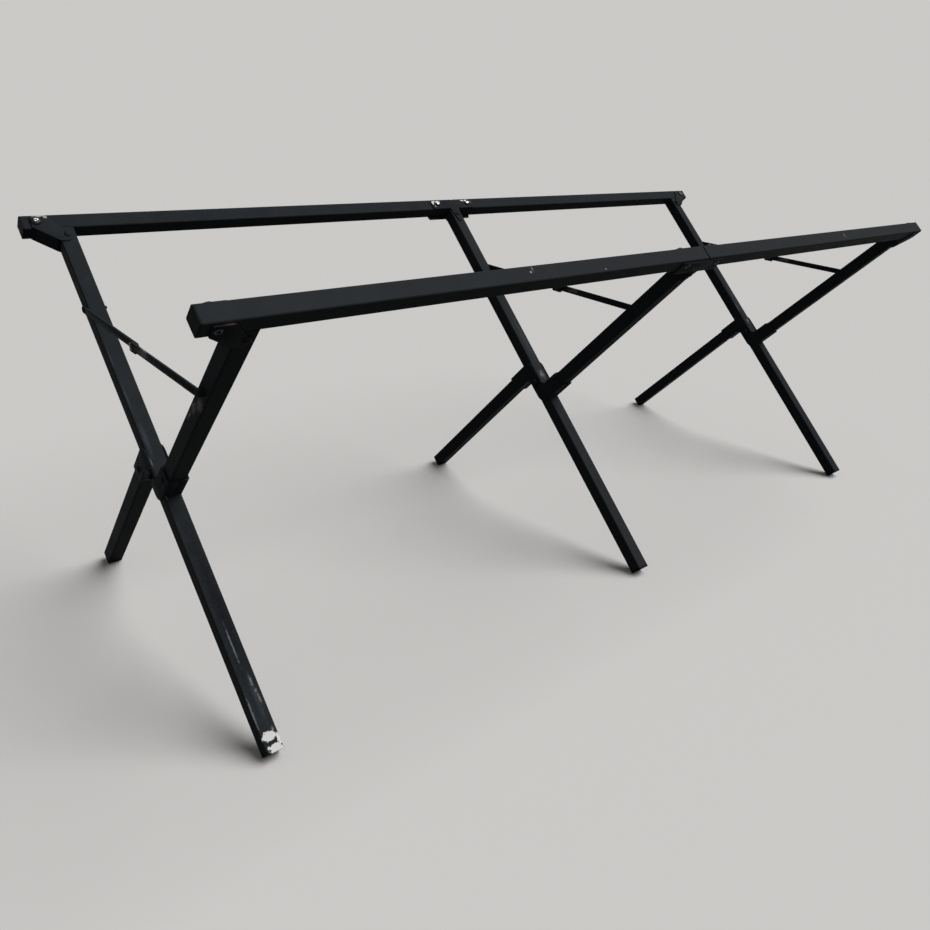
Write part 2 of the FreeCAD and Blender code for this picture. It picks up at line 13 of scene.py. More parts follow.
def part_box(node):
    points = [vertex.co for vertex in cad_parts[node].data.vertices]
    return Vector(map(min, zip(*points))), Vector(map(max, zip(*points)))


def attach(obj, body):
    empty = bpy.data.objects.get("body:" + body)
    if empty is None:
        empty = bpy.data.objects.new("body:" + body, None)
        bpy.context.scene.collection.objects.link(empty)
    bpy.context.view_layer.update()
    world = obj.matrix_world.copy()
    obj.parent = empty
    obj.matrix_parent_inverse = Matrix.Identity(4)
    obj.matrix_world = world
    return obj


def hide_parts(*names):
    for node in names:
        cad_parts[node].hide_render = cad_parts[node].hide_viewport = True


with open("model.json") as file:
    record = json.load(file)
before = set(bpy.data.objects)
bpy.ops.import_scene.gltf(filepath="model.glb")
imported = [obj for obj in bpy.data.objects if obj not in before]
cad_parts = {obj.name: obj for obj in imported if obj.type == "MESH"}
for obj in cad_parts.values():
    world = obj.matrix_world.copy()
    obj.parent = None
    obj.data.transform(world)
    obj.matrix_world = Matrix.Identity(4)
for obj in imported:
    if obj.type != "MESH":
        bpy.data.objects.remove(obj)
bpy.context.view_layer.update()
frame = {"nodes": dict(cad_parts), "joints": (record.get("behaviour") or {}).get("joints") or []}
MM = 0.001

Axes = namedtuple("Axes", "origin turn")
Noise = namedtuple("Noise", "scale detail roughness")
Relief = namedtuple("Relief", "depth strength")
Mark = namedtuple("Mark", "kind point size")
MarkLook = namedtuple("MarkLook", "tone softness")


def colour(red, green, blue):
    return (red, green, blue, 1.0)


# Sizes shared with the solids
TUBE = 25 * MM
HALF = TUBE / 2
CRANK = 28.5 * MM
LEG_PITCH = 779 * MM
BOLT_RADIUS = 3 * MM
BOLT_HEAD_RADIUS = 7.5 * MM
BOLT_HEAD_HEIGHT = 3 * MM
SOCKET_FLATS = 4 * MM
SOCKET_DEPTH = 2 * MM
SLEEVE_RADIUS = 4.2 * MM
SLEEVE_BORE = 3.1 * MM
SLEEVE_LENGTH = 12 * MM
SLEEVE_FLOOR = 4 * MM
FLANGE_RADIUS = 5 * MM
PIVOT_RADIUS = 4 * MM
NUT_FLATS = 13 * MM
NUT_HOLE = 4.1 * MM
HEX_HEAD_HEIGHT = 5.5 * MM
RIVET_HEAD_RADIUS = 5.5 * MM
RIVET_HEAD_HEIGHT = 2.5 * MM
LEG_RIVET_RADIUS = 3 * MM
HUB_RIVET_RADIUS = 2.5 * MM
ARM_THICKNESS = 3 * MM
PIN_RADIUS = 2 * MM
PIN_HEAD_RADIUS = 5 * MM
PIN_HEAD_HEIGHT = 1.2 * MM
PIN_END_PLAY = 0.1 * MM
COLLAR_RADIUS = 5 * MM
PEG_LENGTH = 3 * MM
PEG_KNOB_RADIUS = 2.8 * MM
PEG_KNOB_HEIGHT = 2.6 * MM
KNEE_HEAD_RADIUS = 5.5 * MM
KNEE_HEAD_HEIGHT = 2.2 * MM
KNEE_TAIL_RADIUS = 4.5 * MM
KNEE_TAIL_HEIGHT = 0.7 * MM

# The side of its leg, along X, that each stay lies on
STAY_SIDES = {"left": -1, "middle": 1, "right": 1}

# Details of the fasteners that the solids leave plain
SOCKET_LIP = 2.5 * MM
SOCKET_CHAMFER = 0.15 * MM
DOME_RISE = 2.58 * MM
FLANGE_EDGE = 0.5 * MM
THREAD_PITCH = 1.25 * MM
THREAD_DEPTH = 0.45 * MM
THREAD_LENGTH = 3.5 * MM
THREAD_POINT_DEPTH = 0.63 * MM
HEX_CHAMFER = math.radians(60)
HEX_HEAD_CROWN = 5.98 * MM
NUT_CROWN = 6.11 * MM
NUT_LEAD = 0.4 * MM

# Fineness of the turned pieces and the softened sheet edges
ROUND_STEPS = 48
DOME_STEPS = 7
THREAD_ROWS = 8
HEX_CHAMFER_STEPS = 4
SHEET_EDGE = 0.35 * MM
SHEET_EDGE_STEPS = 2
SHARP_ANGLE = math.radians(32)
FLAT_ANGLE = math.radians(0.5)
WELD = 0.002 * MM

# Wear at edges: how far it reaches, and how much a normal has to turn there
SHEET_WEAR_REACH = 0.9 * MM
SHEET_WEAR_SAMPLES = 6
SHEET_WEAR_TURN = (0.985, 0.90)
TUBE_WEAR_REACH = 2.6 * MM
TUBE_WEAR_FULL = 1.0 * MM

# Local marks, of wear and of painted light: where a mark of size 1 ends, and how ragged its outline is
MARK_EDGE = 1.75
MARK_RAGGEDNESS = 1.6
RAGGED = Noise(260.0, 4.0, 0.65)

# Paint: its noises, the bands of them that show, and its sheen
STREAKS = Noise(620.0, 3.0, 0.60)
STREAK_BAND = (0.60, 0.74)
STREAK_STRETCH = 0.02
PATCHES = Noise(11.0, 3.0, 0.55)
PATCH_BAND = (0.50, 0.66)
RUBBING = 0.3
CLOUD = Noise(38.0, 4.0, 0.60)
DUST_BAND = (0.35, 0.75)
LIGHT_DUST = (0.0, 0.55)
# The heavier dust is partly painted light: it lightens the tubes that take it.
HEAVY_DUST_AND_PAINTED_LIGHT = (0.5, 0.95)
SHEEN_BAND = (0.30, 0.75)
PAINT_ROUGHNESS = (0.42, 0.56)
# Extra roughness on rubbed paint that carries a painted sheen.
RUB_AND_SHEEN_ROUGHNESS = 0.2
PAINT_SPECULAR = 0.004
CHIPS = Noise(95.0, 5.0, 0.70)
CHIP_LEVEL = 0.72
STAY_CHIP_LEVEL = 0.85
CHIP_BAND = 0.03
PEEL = Noise(1500.0, 2.0, 0.50)
PEEL_HEIGHT = 0.12
CHIP_DEPTH = 0.6
PAINT_RELIEF = Relief(0.12 * MM, 1.0)

# Steel: clouded tarnish and marks left by turning
TARNISH = Noise(240.0, 4.0, 0.60)
TARNISH_BAND = (0.38, 0.68)
DULLING_BAND = (0.30, 0.70)
DULLING = 0.18
TURNING = Noise(2600.0, 2.0, 0.50)
TURNING_STRETCH = Vector((0.2, 1.0, 1.0))
STEEL_RELIEF = Relief(0.03 * MM, 0.5)
BOLT_ROUGHNESS = 0.26
KNEE_ROUGHNESS = 0.22
NUT_ROUGHNESS = 0.45
BUSH_ROUGHNESS = 0.3

# Plastic: a fine grain, rubbed in patches
RUBS = Noise(120.0, 4.0, 0.65)
RUB_BAND = (0.56, 0.72)
RUB_STRENGTH = 0.6
PLASTIC_ROUGHNESS = (0.5, 0.7)
PLASTIC_SPECULAR = 0.006
GRAIN = Noise(2200.0, 2.0, 0.50)
PLASTIC_RELIEF = Relief(0.08 * MM, 0.6)

# Colours
PAINT = colour(0.0212, 0.0242, 0.0271)
# Dust tone, which on the tubes with heavier dust is partly painted light.
PAINT_DUST_AND_PAINTED_LIGHT = colour(0.0300, 0.0330, 0.0357)
STEEL = colour(0.5200, 0.5150, 0.5000)
STEEL_DULL = colour(0.3000, 0.2950, 0.2850)
BLACK_STEEL = colour(0.0120, 0.0120, 0.0130)
BLACK_STEEL_WORN = colour(0.0300, 0.0295, 0.0290)
SOOTY_STEEL = colour(0.0090, 0.0090, 0.0100)
PLASTIC = colour(0.0150, 0.0160, 0.0175)
PLASTIC_SCUFF = colour(0.0250, 0.0255, 0.0265)
FLOOR_TONE = colour(0.62, 0.61, 0.595)
FLOOR_BOUNCE = colour(0.075, 0.072, 0.069)

# Kinds of marks, of wear and of painted shade, sheen, reflection and glint, from the one that lies undermost
# to the one on top
MARK_LOOKS = {
    # Painted shade: darkens a face where shade falls on it.
    "painted_shade": MarkLook(colour(0.0118, 0.0132, 0.0165), 1.10),
    # Rubbed paint with a painted sheen: lighter and bluer than the paint.
    "rub_and_sheen": MarkLook(colour(0.0450, 0.0510, 0.0590), 1.10),
    "streak": MarkLook(colour(0.1500, 0.1600, 0.1750), 0.90),
    "scuff": MarkLook(colour(0.2200, 0.2120, 0.1920), 0.90),
    # Bare edge lines tinted by a painted reflection of a warm floor.
    "worn_warm_reflection": MarkLook(colour(0.0950, 0.0640, 0.0580), 0.60),
    "chip": MarkLook(colour(0.3600, 0.3450, 0.3000), 0.30),
    "white": MarkLook(colour(0.7200, 0.7150, 0.6950), 0.15),
    # Painted highlight: the glint on a bolt's socket.
    "painted_glint": MarkLook(colour(0.6000, 0.5900, 0.5600), 0.25),
}

# Camera: the photograph's place, direction and field of view
CAMERA_PLACE = Vector((-1.1346, -1.0546, 0.8064))
CAMERA_YAW = math.radians(41.779)
CAMERA_PITCH = math.radians(24.526)
CAMERA_ROLL = math.radians(-3.324)
CAMERA_LENS = 30.664
CAMERA_SENSOR = 36.0

# Stage: even light from all round with one wide lamp, over a floor that runs out of sight
EVEN_LIGHT = 0.15
SUN_STRENGTH = 3.2
SUN_WIDTH = math.radians(50)
SUN_DIRECTION = Vector((0.55, -0.25, 0.80))
FLOOR_RADIUS = 60.0
FLOOR_STEPS = 96

# Sockets of a mix node that takes colours
MIX_FACTOR = 0
MIX_FIRST = 6
MIX_SECOND = 7
MIX_RESULT = 2


def middle(node):
    low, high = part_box(node)
    return (low + high) / 2


# Places worked out from the frame
FOLD = next(joint for joint in frame["joints"] if joint["name"] == "fold")
PIVOT = Vector(FOLD["pos_m"])
REAR_RAIL = middle("rear_rail_left")
FRONT_RAIL = middle("front_rail_left")
TILT = math.atan2(REAR_RAIL.y - PIVOT.y, REAR_RAIL.z - PIVOT.z)
REACH = math.hypot(REAR_RAIL.y - PIVOT.y, REAR_RAIL.z - PIVOT.z)
FRONT_TILT = TILT - math.asin(CRANK / REACH)

# Each frame's own axes: z up its legs, -y out of its inner face
REAR_TURN = Euler((-TILT, 0, 0))
FRONT_TURN = Euler((-FRONT_TILT, 0, math.pi))
REAR_INNER = REAR_TURN.to_matrix() @ Vector((0, -1, 0))
REAR_UP = REAR_TURN.to_matrix() @ Vector((0, 0, 1))
FRONT_INNER = FRONT_TURN.to_matrix() @ Vector((0, -1, 0))
FRONT_UP = FRONT_TURN.to_matrix() @ Vector((0, 0, 1))
SIDE = Vector((1, 0, 0))
LEVEL = Euler((0, 0, 0))
LEG_PLACES = {"left": -LEG_PITCH, "middle": 0.0, "right": LEG_PITCH}


class Tree:
    """One material's node tree, with short calls for the nodes used here."""

    def __init__(self, name):
        self.material = bpy.data.materials.new(name)
        self.material.use_nodes = True
        self.nodes = self.material.node_tree.nodes
        self.links = self.material.node_tree.links
        self.shader = self.nodes["Principled BSDF"]

    def feed(self, socket, value):
        """A node's output is linked to the socket, and anything else is set on it."""
        if isinstance(value, bpy.types.NodeSocket):
            self.links.new(value, socket)
        else:
            socket.default_value = value

    def place(self, axes):
        """Position on the piece, in metres from the axes' origin and along the axes."""
        source = self.nodes.new("ShaderNodeTexCoord")
        turned = self.nodes.new("ShaderNodeMapping")
        turned.vector_type = "TEXTURE"
        turned.inputs["Location"].default_value = axes.origin
        turned.inputs["Rotation"].default_value = axes.turn
        self.links.new(source.outputs["Object"], turned.inputs["Vector"])
        return turned.outputs["Vector"]

    def maths(self, operation, *values):
        node = self.nodes.new("ShaderNodeMath")
        node.operation = operation
        for socket, value in zip(node.inputs, values):
            self.feed(socket, value)
        return node.outputs["Value"]

    def vector(self, operation, *values):
        node = self.nodes.new("ShaderNodeVectorMath")
        node.operation = operation
        for socket, value in zip(node.inputs, values):
            self.feed(socket, value)
        return node.outputs["Value" if operation in ("LENGTH", "DOT_PRODUCT") else "Vector"]

    def parts(self, vector):
        node = self.nodes.new("ShaderNodeSeparateXYZ")
        self.links.new(vector, node.inputs["Vector"])
        return node.outputs["X"], node.outputs["Y"], node.outputs["Z"]

    def noise(self, place, kind):
        node = self.nodes.new("ShaderNodeTexNoise")
        self.links.new(place, node.inputs["Vector"])
        node.inputs["Scale"].default_value = kind.scale
        node.inputs["Detail"].default_value = kind.detail
        node.inputs["Roughness"].default_value = kind.roughness
        return node.outputs["Fac"]

    def step(self, value, low, high, bottom=0.0, top=1.0):
        """A smooth step from bottom to top as the value goes from low to high."""
        node = self.nodes.new("ShaderNodeMapRange")
        node.interpolation_type = "SMOOTHSTEP"
        self.feed(node.inputs["Value"], value)
        for name, number in (("From Min", low), ("From Max", high), ("To Min", bottom), ("To Max", top)):
            node.inputs[name].default_value = number
        return node.outputs["Result"]

    def mix(self, factor, first, second):
        node = self.nodes.new("ShaderNodeMix")
        node.data_type = "RGBA"
        self.feed(node.inputs[MIX_FACTOR], factor)
        self.feed(node.inputs[MIX_FIRST], first)
        self.feed(node.inputs[MIX_SECOND], second)
        return node.outputs[MIX_RESULT]

    def largest(self, masks):
        result = masks[0]
        for mask in masks[1:]:
            result = self.maths("MAXIMUM", result, mask)
        return result

    def sheet_edges(self):
        """One on the sharp edges of a sheet, none on its faces."""
        rounded = self.nodes.new("ShaderNodeBevel")
        rounded.samples = SHEET_WEAR_SAMPLES
        rounded.inputs["Radius"].default_value = SHEET_WEAR_REACH
        shape = self.nodes.new("ShaderNodeNewGeometry")
        agreement = self.vector("DOT_PRODUCT", rounded.outputs["Normal"], shape.outputs["True Normal"])
        return self.step(agreement, *SHEET_WEAR_TURN)

    def tube_edges(self, place, along):
        """One on the rounded corners of a tube that runs along the named axis."""
        across = [part for part, name in zip(self.parts(place), "xyz") if name != along]
        nearest = self.maths("MINIMUM", *[self.maths("ABSOLUTE", part) for part in across])
        return self.step(nearest, HALF - TUBE_WEAR_REACH, HALF - TUBE_WEAR_FULL)

    def bump(self, height, relief):
        node = self.nodes.new("ShaderNodeBump")
        node.inputs["Strength"].default_value = relief.strength
        node.inputs["Distance"].default_value = relief.depth
        self.links.new(height, node.inputs["Height"])
        self.links.new(node.outputs["Normal"], self.shader.inputs["Normal"])

    def surface(self, **values):
        for name, value in values.items():
            self.feed(self.shader.inputs[name.replace("_", " ")], value)


def mark_masks(tree, place, axes, marks, overall=()):
    """One mask for each kind of mark, of wear and of painted light, from its marks with ragged edges and any
    mask over the whole piece.
    """
    ragged = tree.maths("MULTIPLY", tree.noise(place, RAGGED), MARK_RAGGEDNESS)
    inverse = (Matrix.Translation(axes.origin) @ axes.turn.to_matrix().to_4x4()).inverted()
    found = {kind: [mask] for kind, mask in overall}
    for mark in marks:
        offset = tree.vector("SUBTRACT", place, inverse @ mark.point)
        scaled = tree.vector("DIVIDE", offset, Vector(mark.size) * MM)
        distance = tree.maths("ADD", tree.vector("LENGTH", scaled), ragged)
        inside = MARK_EDGE - MARK_LOOKS[mark.kind].softness
        found.setdefault(mark.kind, []).append(tree.step(distance, MARK_EDGE, inside))
    return {kind: tree.largest(masks) for kind, masks in found.items()}


def marked(tree, tone, masks):
    """The tone with every kind of mark, of wear and of painted light, laid over it in turn."""
    for kind, look in MARK_LOOKS.items():
        if kind in masks:
            tone = tree.mix(masks[kind], tone, look.tone)
    return tone


def paint(name, axes, along, marks=(), tube=True, chip_level=CHIP_LEVEL, dust_and_light=LIGHT_DUST):
    """Dull black paint, finely pitted and dusty, rubbed along the piece and chipped at its edges; the rubbed
    marks also paint a sheen, and the heavier dust is partly painted light.
    """
    tree = Tree(name)
    place = tree.place(axes)
    stretch = Vector([STREAK_STRETCH if axis == along else 1.0 for axis in "xyz"])
    streaks = tree.step(tree.noise(tree.vector("MULTIPLY", place, stretch), STREAKS), *STREAK_BAND)
    patches = tree.step(tree.noise(place, PATCHES), *PATCH_BAND)
    rubbing = tree.maths("MULTIPLY", tree.maths("MULTIPLY", streaks, patches), RUBBING)
    edges = tree.tube_edges(place, along) if tube else tree.sheet_edges()
    chips = tree.step(tree.noise(place, CHIPS), chip_level, chip_level + CHIP_BAND)
    chipping = tree.maths("MULTIPLY", edges, chips)
    # The rubbed streaks take the lighter tone that also paints a sheen.
    masks = mark_masks(tree, place, axes, marks, [("rub_and_sheen", rubbing), ("chip", chipping)])
    cloud = tree.noise(place, CLOUD)
    dust_and_light_tone = tree.mix(tree.step(cloud, *DUST_BAND, *dust_and_light), PAINT, PAINT_DUST_AND_PAINTED_LIGHT)
    roughness = tree.step(cloud, *SHEEN_BAND, *PAINT_ROUGHNESS)
    roughness = tree.maths("ADD", roughness, tree.maths("MULTIPLY", masks["rub_and_sheen"], RUB_AND_SHEEN_ROUGHNESS))
    tree.surface(Base_Color=marked(tree, dust_and_light_tone, masks), Roughness=roughness, Specular_IOR_Level=PAINT_SPECULAR)
    peel = tree.maths("MULTIPLY", tree.noise(place, PEEL), PEEL_HEIGHT)
    hollows = tree.maths("MULTIPLY", masks["chip"], CHIP_DEPTH)
    tree.bump(tree.maths("SUBTRACT", peel, hollows), PAINT_RELIEF)
    return tree.material


def steel(name, axes, first, second, roughness, marks=()):
    """Steel with turning marks, clouded between two tones, and with any splashes of white paint and painted
    glints.
    """
    tree = Tree(name)
    place = tree.place(axes)
    cloud = tree.noise(place, TARNISH)
    masks = mark_masks(tree, place, axes, marks)
    tone = tree.mix(tree.step(cloud, *TARNISH_BAND), first, second)
    bare = tree.maths("SUBTRACT", 1.0, masks["white"]) if "white" in masks else 1.0
    tree.surface(Base_Color=marked(tree, tone, masks), Metallic=bare)
    tree.surface(Roughness=tree.step(cloud, *DULLING_BAND, roughness, roughness + DULLING))
    tree.bump(tree.noise(tree.vector("MULTIPLY", place, TURNING_STRETCH), TURNING), STEEL_RELIEF)
    return tree.material


def plastic(name, axes, marks=()):
    """Moulded black plastic, finely grained, rubbed grey in patches."""
    tree = Tree(name)
    place = tree.place(axes)
    rubbed = tree.step(tree.noise(place, RUBS), *RUB_BAND, 0.0, RUB_STRENGTH)
    tone = tree.mix(rubbed, PLASTIC, PLASTIC_SCUFF)
    tone = marked(tree, tone, mark_masks(tree, place, axes, marks))
    roughness = tree.step(rubbed, 0.0, RUB_STRENGTH, *PLASTIC_ROUGHNESS)
    tree.surface(Base_Color=tone, Roughness=roughness, Specular_IOR_Level=PLASTIC_SPECULAR)
    tree.bump(tree.noise(place, GRAIN), PLASTIC_RELIEF)
    return tree.material


def dress(piece, material):
    piece.data.materials.clear()
    piece.data.materials.append(material)


def smooth(mesh):
    """Smooth shading across gentle edges only."""
    for face in mesh.polygons:
        face.use_smooth = True
    mesh.set_sharp_from_angle(angle=SHARP_ANGLE)


def stand_for(node, mesh, body, material):
    """A finished mesh shown in place of a solid, moving with the same body."""
    piece = bpy.data.objects.new(node + "_finished", mesh)
    bpy.context.scene.collection.objects.link(piece)
    smooth(mesh)
    dress(piece, material)
    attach(piece, body)
    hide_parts(node)


def welded(node):
    """A solid's mesh as an editable form, with its doubled points joined."""
    form = bmesh.new()
    form.from_mesh(frame["nodes"][node].data)
    bmesh.ops.remove_doubles(form, verts=form.verts, dist=WELD)
    return form


def softened(node):
    """A solid's mesh with its flat faces joined and its sharp edges rounded over."""
    form = welded(node)
    bmesh.ops.dissolve_limit(
        form, angle_limit=FLAT_ANGLE, verts=form.verts, edges=form.edges, use_dissolve_boundaries=False
    )
    sharp = [edge for edge in form.edges if edge.is_manifold and edge.calc_face_angle() > SHARP_ANGLE]
    bmesh.ops.bevel(
        form, geom=sharp, offset=SHEET_EDGE, segments=SHEET_EDGE_STEPS, profile=0.5, affect="EDGES",
        clamp_overlap=True,
    )
    bmesh.ops.triangulate(form, faces=[face for face in form.faces if len(face.verts) > 4])
    mesh = bpy.data.meshes.new(node + "_softened")
    form.to_mesh(mesh)
    form.free()
    return mesh


def islands(node):
    """The separate solids of a node, each as a list of points, in their order along X."""
    form = welded(node)
    left = set(form.verts)
    groups = []
    while left:
        reached = [left.pop()]
        for vertex in reached:
            for edge in vertex.link_edges:
                other = edge.other_vert(vertex)
                if other in left:
                    left.remove(other)
                    reached.append(other)
        groups.append([vertex.co.copy() for vertex in reached])
    form.free()
    return sorted(groups, key=lambda points: points[0].x)


def spindle(points, axis):
    """Placement of a turned solid, z along its axis from its lower end, and its length."""
    turn = Vector((0, 0, 1)).rotation_difference(axis).to_matrix()
    local = [turn.inverted() @ point for point in points]
    low = Vector([min(point[i] for point in local) for i in range(3)])
    high = Vector([max(point[i] for point in local) for i in range(3)])
    base = turn @ Vector(((low.x + high.x) / 2, (low.y + high.y) / 2, low.z))
    return Matrix.Translation(base) @ turn.to_4x4(), high.z - low.z


def loft(form, place, rings, hollow=False):
    """Joins rings about z into a closed skin. A ring is its height and a radius for each angle."""
    rows = []
    for height, radius in rings:
        row = []
        for step in range(ROUND_STEPS):
            angle = 2 * math.pi * step / ROUND_STEPS
            reach = radius(angle)
            point = Vector((reach * math.cos(angle), reach * math.sin(angle), height))
            row.append(form.verts.new(place @ point))
        rows.append(row)
    pairs = list(zip(rows, rows[1:]))
    if hollow:
        pairs.append((rows[-1], rows[0]))
    for lower, upper in pairs:
        for step in range(ROUND_STEPS):
            after = (step + 1) % ROUND_STEPS
            form.faces.new((lower[step], lower[after], upper[after], upper[step]))
    if not hollow:
        form.faces.new(list(reversed(rows[0])))
        form.faces.new(rows[-1])


def disc(radius):
    return lambda angle: radius


def hexagon(flats, limit):
    """A hexagon across flats whose corners are turned down to the limit radius."""
    sector = math.pi / 3
    return lambda angle: min(limit, flats / 2 / math.cos(angle % sector - sector / 2))


def screw(height):
    """A thread's cross section at this height."""
    def radius(angle):
        phase = (height / THREAD_PITCH - angle / (2 * math.pi)) % 1.0
        return PIVOT_RADIUS - THREAD_DEPTH * abs(2 * phase - 1)
    return radius


def quarter_turns(first):
    """The angles of a quarter circle's steps, from the first step to its end."""
    return [math.pi / 2 * step / DOME_STEPS for step in range(first, DOME_STEPS + 1)]


def dome(base, height, radius):
    """Rings of a rounded head that rises from its base to its crown; a negative height points down."""
    rings = [(base, disc(radius))]
    for turn in quarter_turns(0)[:-1]:
        rings.append((base + height * math.sin(turn), disc(radius * math.cos(turn))))
    crown = radius * math.cos(math.pi / 2 * (DOME_STEPS - 0.5) / DOME_STEPS)
    return rings + [(base + height, disc(crown))]


def hex_sides(length, both_ends):
    """Rings of a hexagonal body from height zero, its corners chamfered at the start or at both ends."""
    inner = NUT_FLATS / 2
    corner = inner / math.cos(math.pi / 6)
    depth = (corner - inner) / math.tan(HEX_CHAMFER)
    shares = [step / HEX_CHAMFER_STEPS for step in range(HEX_CHAMFER_STEPS + 1)]
    rings = [(depth * share, hexagon(NUT_FLATS, inner + (corner - inner) * share)) for share in shares]
    for share in reversed(shares):
        limit = inner + (corner - inner) * share if both_ends else corner
        rings.append((length - depth * share, hexagon(NUT_FLATS, limit)))
    return rings


def thread_end(end):
    """Rings of the threaded end of a bolt, with a blunt point."""
    start = end - THREAD_LENGTH
    point = end - THREAD_PITCH / 2
    rows = round((point - start) / THREAD_PITCH * THREAD_ROWS)
    rings = [(start - THREAD_PITCH / 2, disc(PIVOT_RADIUS - THREAD_DEPTH))]
    for row in range(rows + 1):
        height = start + (point - start) * row / rows
        rings.append((height, screw(height)))
    rings.append((end, disc(PIVOT_RADIUS - THREAD_POINT_DEPTH)))
    return rings


def dome_bolt(form, place, length):
    """Head first: a domed head with a hexagon socket, then the plain shank that its sleeve nut hides."""
    socket = hexagon(SOCKET_FLATS, SOCKET_LIP)
    rings = [(SOCKET_DEPTH, socket), (SOCKET_CHAMFER, socket), (0.0, disc(SOCKET_LIP))]
    for turn in quarter_turns(1):
        radius = SOCKET_LIP + (BOLT_HEAD_RADIUS - SOCKET_LIP) * math.sin(turn)
        rings.append((DOME_RISE * (1 - math.cos(turn)), disc(radius)))
    rings += [(BOLT_HEAD_HEIGHT, disc(BOLT_HEAD_RADIUS)), (BOLT_HEAD_HEIGHT, disc(BOLT_RADIUS))]
    loft(form, place, rings + [(length, disc(BOLT_RADIUS))])


def sleeve_nut(form, place, length):
    """Sleeve first: the bore that takes the bolt's end, the sleeve, and a low flange with a socket."""
    socket = hexagon(SOCKET_FLATS, SOCKET_LIP)
    rings = [(SLEEVE_LENGTH - SLEEVE_FLOOR, disc(SLEEVE_BORE)), (0.0, disc(SLEEVE_BORE))]
    rings += [(0.0, disc(SLEEVE_RADIUS)), (SLEEVE_LENGTH, disc(SLEEVE_RADIUS))]
    rings += [(SLEEVE_LENGTH, disc(FLANGE_RADIUS))]
    for turn in quarter_turns(0):
        radius = FLANGE_RADIUS - FLANGE_EDGE * (1 - math.cos(turn))
        rings.append((length - FLANGE_EDGE * (1 - math.sin(turn)), disc(radius)))
    rings += [(length, disc(SOCKET_LIP)), (length - SOCKET_CHAMFER, socket)]
    loft(form, place, rings + [(length - SOCKET_DEPTH, socket)])


def hex_bolt(form, place, length):
    """Head first: a chamfered hexagon, then the shank and its threaded end."""
    rings = [(0.0, disc(HEX_HEAD_CROWN))] + hex_sides(HEX_HEAD_HEIGHT, both_ends=False)
    rings += [(HEX_HEAD_HEIGHT, disc(PIVOT_RADIUS))]
    loft(form, place, rings + thread_end(length))


def hex_nut(form, place, length):
    """A nut chamfered at both ends, with a lead-in at both ends of its hole."""
    rim = NUT_HOLE + NUT_LEAD
    rings = [(0.0, disc(rim)), (0.0, disc(NUT_CROWN))]
    rings += hex_sides(length, both_ends=True)
    rings += [(length, disc(NUT_CROWN)), (length, disc(rim))]
    rings += [(length - NUT_LEAD, disc(NUT_HOLE)), (NUT_LEAD, disc(NUT_HOLE))]
    loft(form, place, rings, hollow=True)


def button_rivet(shank):
    """A rivet with a domed head at each end."""
    def build(form, place, length):
        low = dome(RIVET_HEAD_HEIGHT, -RIVET_HEAD_HEIGHT, RIVET_HEAD_RADIUS)
        high = dome(length - RIVET_HEAD_HEIGHT, RIVET_HEAD_HEIGHT, RIVET_HEAD_RADIUS)
        waist = [(RIVET_HEAD_HEIGHT, disc(shank)), (length - RIVET_HEAD_HEIGHT, disc(shank))]
        loft(form, place, list(reversed(low)) + waist + high)
    return build


def stay_pin(form, place, length):
    """Low outer head, the neck that the arm turns on, the collar against the leg, shank and knobbed peg."""
    neck_end = PIN_HEAD_HEIGHT + ARM_THICKNESS + 2 * PIN_END_PLAY
    knob_seat = length - PEG_KNOB_HEIGHT
    collar_end = knob_seat - PEG_LENGTH - TUBE
    rings = list(reversed(dome(PIN_HEAD_HEIGHT, -PIN_HEAD_HEIGHT, PIN_HEAD_RADIUS)))
    rings += [(PIN_HEAD_HEIGHT, disc(PIN_RADIUS)), (neck_end, disc(PIN_RADIUS))]
    rings += [(neck_end, disc(COLLAR_RADIUS)), (collar_end, disc(COLLAR_RADIUS))]
    rings += [(collar_end, disc(PIN_RADIUS)), (knob_seat, disc(PIN_RADIUS))]
    loft(form, place, rings + dome(knob_seat, PEG_KNOB_HEIGHT, PEG_KNOB_RADIUS))


def headed_shank(radius, height):
    """Half a knee rivet, head first: a peened head and the shank behind it."""
    def build(form, place, length):
        rings = list(reversed(dome(height, -height, radius)))
        loft(form, place, rings + [(height, disc(PIN_RADIUS)), (length, disc(PIN_RADIUS))])
    return build


def turned(node, axes, build, body, slot, material):
    """Turned pieces in place of every solid of a node. The axes repeat in the solids' order along X."""
    form = bmesh.new()
    for points, axis in zip(islands(node), itertools.cycle(axes)):
        place, length = spindle(points, axis)
        build(form, place, length)
    bmesh.ops.recalc_face_normals(form, faces=form.faces)
    mesh = bpy.data.meshes.new(node + "_turned")
    form.to_mesh(mesh)
    form.free()
    stand_for(node, mesh, body, material)


def on_rear_leg(word, across, up):
    """A point on the inner face of a straight leg, measured in millimetres from its scissor bolt."""
    side = SIDE * (LEG_PLACES[word] + across * MM)
    return PIVOT + side + REAR_UP * (up * MM) + REAR_INNER * HALF


def on_front_leg_side(word, out, up):
    """A point on the left face of an upper front leg, measured in millimetres from its scissor bolt."""
    side = SIDE * (LEG_PLACES[word] - HALF)
    return PIVOT + side + FRONT_UP * (up * MM) - FRONT_INNER * (CRANK + out * MM)


def on_rail(rail, face, across, along, offset):
    """A point on a rail's face, in millimetres along the rail from its middle and across the face."""
    return Vector((along * MM, rail.y, rail.z)) + face * HALF + across * (offset * MM)


def on_rear_rail(along, up):
    """On the inner face of the rear rail."""
    return on_rail(REAR_RAIL, REAR_INNER, REAR_UP, along, up)


def on_front_rail(along, back):
    """On the top face of the front rail."""
    return on_rail(FRONT_RAIL, FRONT_UP, FRONT_INNER, along, back)


def on_front_rail_inner(along, up):
    """On the inner face of the front rail."""
    return on_rail(FRONT_RAIL, FRONT_INNER, FRONT_UP, along, up)


